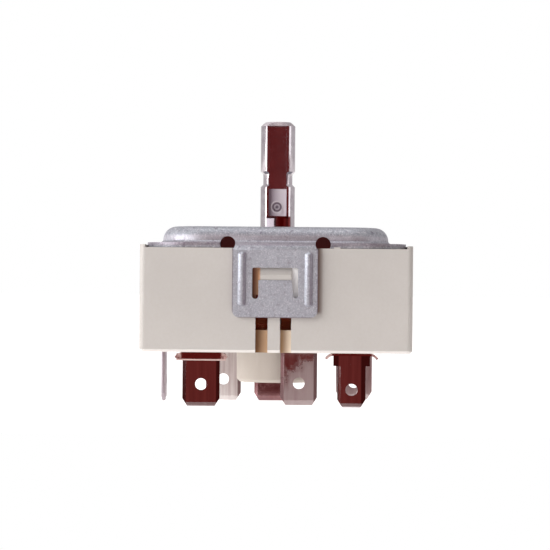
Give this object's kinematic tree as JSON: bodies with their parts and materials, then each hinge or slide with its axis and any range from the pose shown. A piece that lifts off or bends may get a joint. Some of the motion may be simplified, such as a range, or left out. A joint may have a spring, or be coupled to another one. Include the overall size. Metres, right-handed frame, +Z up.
{
  "type": "infinite switch",
  "caption": "Cooker heat regulator switch: moulded case, snapped steel mounting cover, push-to-turn D shaft and quick-connect tabs below, with cam, contacts and bimetal inside.",
  "frame": {"origin": "on the shaft axis at the top of the cover's raised pad, which is the mounting face", "axes": "+Z up along the shaft towards the knob, +X to the right seen from the front strap, -Y towards the front strap"},
  "size_m": [0.046, 0.0408, 0.0491],
  "materials": {
    "case_moulding": "satin moulded",
    "zinc_plate": "zinc plated",
    "die_cast": "die-cast zinc",
    "cam_moulding": "moulded",
    "spring_steel": "drawn wire",
    "tab_plate": "nickel plated",
    "clip_steel": "spring steel",
    "blade_bronze": "spring bronze",
    "nose_moulding": "moulded",
    "contact_silver": "silver",
    "rivet_metal": "plain",
    "lever_steel": "zinc plated",
    "screw_brass": "turned",
    "bimetal_strip": "rolled",
    "mica": "mica",
    "heater_wire": "resistance ribbon"
  },
  "bodies": {
    "case": {"housing": "case_moulding", "cover_plate": "zinc_plate", "terminal_front_left": "tab_plate", "terminal_front_middle": "tab_plate", "terminal_front_right": "tab_plate", "terminal_right": "tab_plate", "terminal_back_left": "tab_plate", "terminal_back_middle": "tab_plate", "terminal_left_end": "tab_plate", "terminal_clip_left": "clip_steel", "terminal_clip_right": "clip_steel", "line_fixed_contact": "contact_silver", "line_blade_rivet": "rivet_metal", "pilot_fixed_contact": "contact_silver", "pilot_blade_rivet": "rivet_metal", "cycling_fixed_contact": "contact_silver", "cycling_blade_rivet": "rivet_metal", "lever_pin": "lever_steel"},
    "cam": {"control_cam": "cam_moulding", "shaft_spring": "spring_steel"},
    "shaft": {"shaft": "die_cast"},
    "line_arm": {"line_blade": "blade_bronze", "line_nose": "nose_moulding", "line_moving_contact": "contact_silver"},
    "pilot_arm": {"pilot_blade": "blade_bronze", "pilot_nose": "nose_moulding", "pilot_moving_contact": "contact_silver"},
    "cycling_arm": {"cycling_blade": "blade_bronze", "cycling_moving_contact": "contact_silver"},
    "lever": {"control_lever": "lever_steel", "calibration_screw": "screw_brass", "bimetal_rivets": "rivet_metal"},
    "bimetal": {"bimetal_blade": "bimetal_strip", "bimetal_pusher": "nose_moulding", "heater_insulator": "mica", "heater_winding": "heater_wire"}
  },
  "joints": [
    {"name": "cam_turn", "type": "hinge", "parent": "case", "child": "cam", "pos_m": [0, 0, 0], "axis": [0, 0, 1], "continuous": true},
    {"name": "shaft_push", "type": "slide", "parent": "cam", "child": "shaft", "axis": [0, 0, -1], "range_m": [0, 0.002], "stiffness_N_per_m": 900, "springref_m": -0.003, "deforming": ["shaft_spring"]},
    {"name": "line_arm_close", "type": "hinge", "parent": "case", "child": "line_arm", "pos_m": [0.0044, -0.0093, -0.01615], "axis": [0, 0, 1], "range_deg": [0, 1.6], "stiffness_Nm_per_rad": 0.002},
    {"name": "pilot_arm_close", "type": "hinge", "parent": "case", "child": "pilot_arm", "pos_m": [0.0099, -0.0134, -0.01215], "axis": [0, 0, 1], "range_deg": [-1.6, 0], "stiffness_Nm_per_rad": 0.002},
    {"name": "cycling_arm_open", "type": "hinge", "parent": "case", "child": "cycling_arm", "pos_m": [-0.0188, 0.01, -0.00815], "axis": [0, 0, 1], "range_deg": [0, 3.7], "stiffness_Nm_per_rad": 0.002},
    {"name": "lever_swing", "type": "hinge", "parent": "case", "child": "lever", "pos_m": [0.0165, 0.01, -0.00765], "axis": [0, 0, 1], "range_deg": [-1.9, 0], "stiffness_Nm_per_rad": 0.004},
    {"name": "bimetal_bend", "type": "hinge", "parent": "lever", "child": "bimetal", "pos_m": [0.0125, 0.0134, -0.0079], "axis": [0, 0, 1], "range_deg": [-2.4, 0]}
  ],
  "couplings": [
    {"joint": "bimetal_bend", "follows": "cycling_arm_open", "ratio": -0.62}
  ]
}
